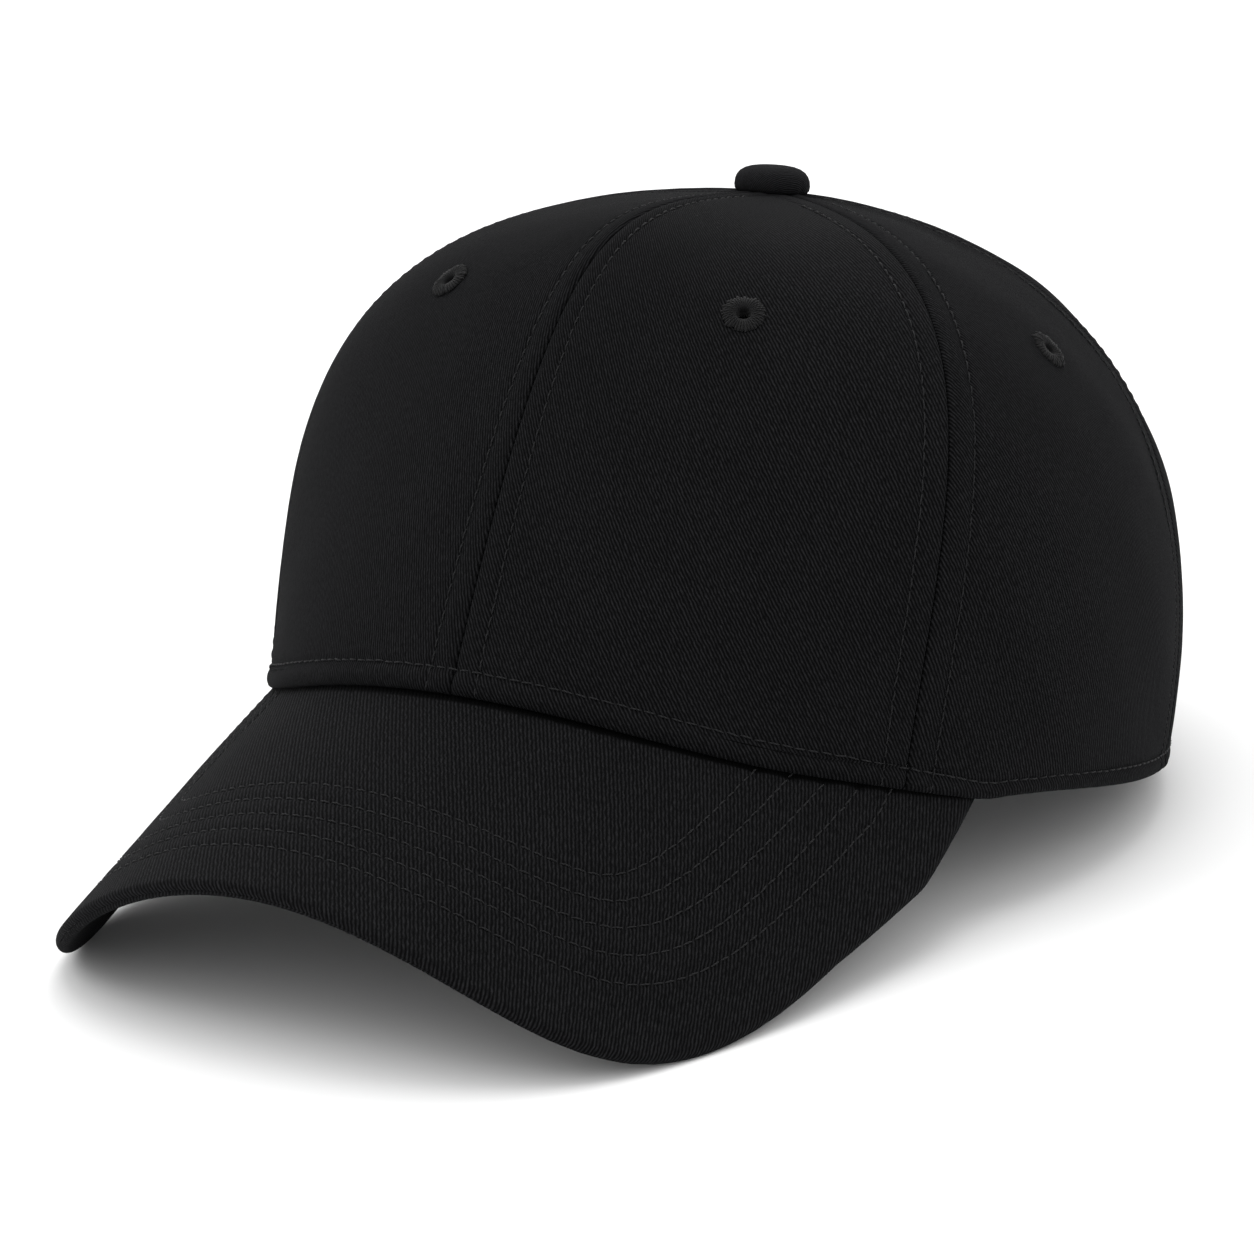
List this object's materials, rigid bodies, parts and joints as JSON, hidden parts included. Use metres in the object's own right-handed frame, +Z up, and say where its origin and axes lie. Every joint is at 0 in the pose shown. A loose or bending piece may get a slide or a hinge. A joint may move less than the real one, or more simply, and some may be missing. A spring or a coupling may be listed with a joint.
{
  "type": "baseball cap",
  "caption": "Structured panelled baseball cap with a curved stitched visor, covered top button, eyelets and a strap closure with a flip-lever buckle at the back.",
  "frame": {"origin": "middle of the footprint, on the surface the cap stands on", "axes": "+Z up as the cap stands; the visor points along -Y; +X is the wearer's left. The rim plane is pitched 9.57 degrees, front up."},
  "size_m": [0.1862, 0.2708, 0.1325],
  "materials": {
    "twill": "matt black cotton twill",
    "thread": "black satin-stitch thread",
    "tape": "black bias tape",
    "buckram": "stiffened open-weave cotton",
    "band_cloth": "black cotton sweatband",
    "pad_felt": "needled felt",
    "board": "moulded polyethylene sheet",
    "metal": "antiqued brass"
  },
  "bodies": {
    "cap": {"panel_front_left": "twill", "panel_front_right": "twill", "panel_side_left": "twill", "panel_side_right": "twill", "panel_back_left": "twill", "panel_back_right": "twill", "visor_top_cover": "twill", "visor_under_cover": "twill", "button_cover": "twill", "closure_tab": "twill", "eyelet_front_left": "thread", "eyelet_front_right": "thread", "eyelet_side_left": "thread", "eyelet_side_right": "thread", "eyelet_back_left": "thread", "eyelet_back_right": "thread", "tape_front_left": "tape", "tape_front_right": "tape", "tape_back_left": "tape", "tape_back_right": "tape", "tape_front_center": "tape", "tape_back_center": "tape", "arch_tape": "tape", "buckram_left": "buckram", "buckram_right": "buckram", "sweatband": "band_cloth", "sweatband_pad": "pad_felt", "visor_board": "board", "button_shell": "metal", "button_tack": "metal", "buckle_frame": "metal", "buckle_pin": "metal"},
    "strap": {"closure_strap": "twill"},
    "lever": {"buckle_lever": "metal"}
  },
  "joints": [
    {"name": "buckle_lever", "type": "hinge", "parent": "cap", "child": "lever", "pos_m": [0.01746, 0.13091, 0.01235], "axis": [0, 0.1663, 0.9861], "range_deg": [0, 105]},
    {"name": "strap_slide", "type": "hinge", "parent": "cap", "child": "strap", "pos_m": [0, 0.04756, 0.0122], "axis": [0, -0.1663, -0.9861], "range_deg": [-9, 9]}
  ]
}
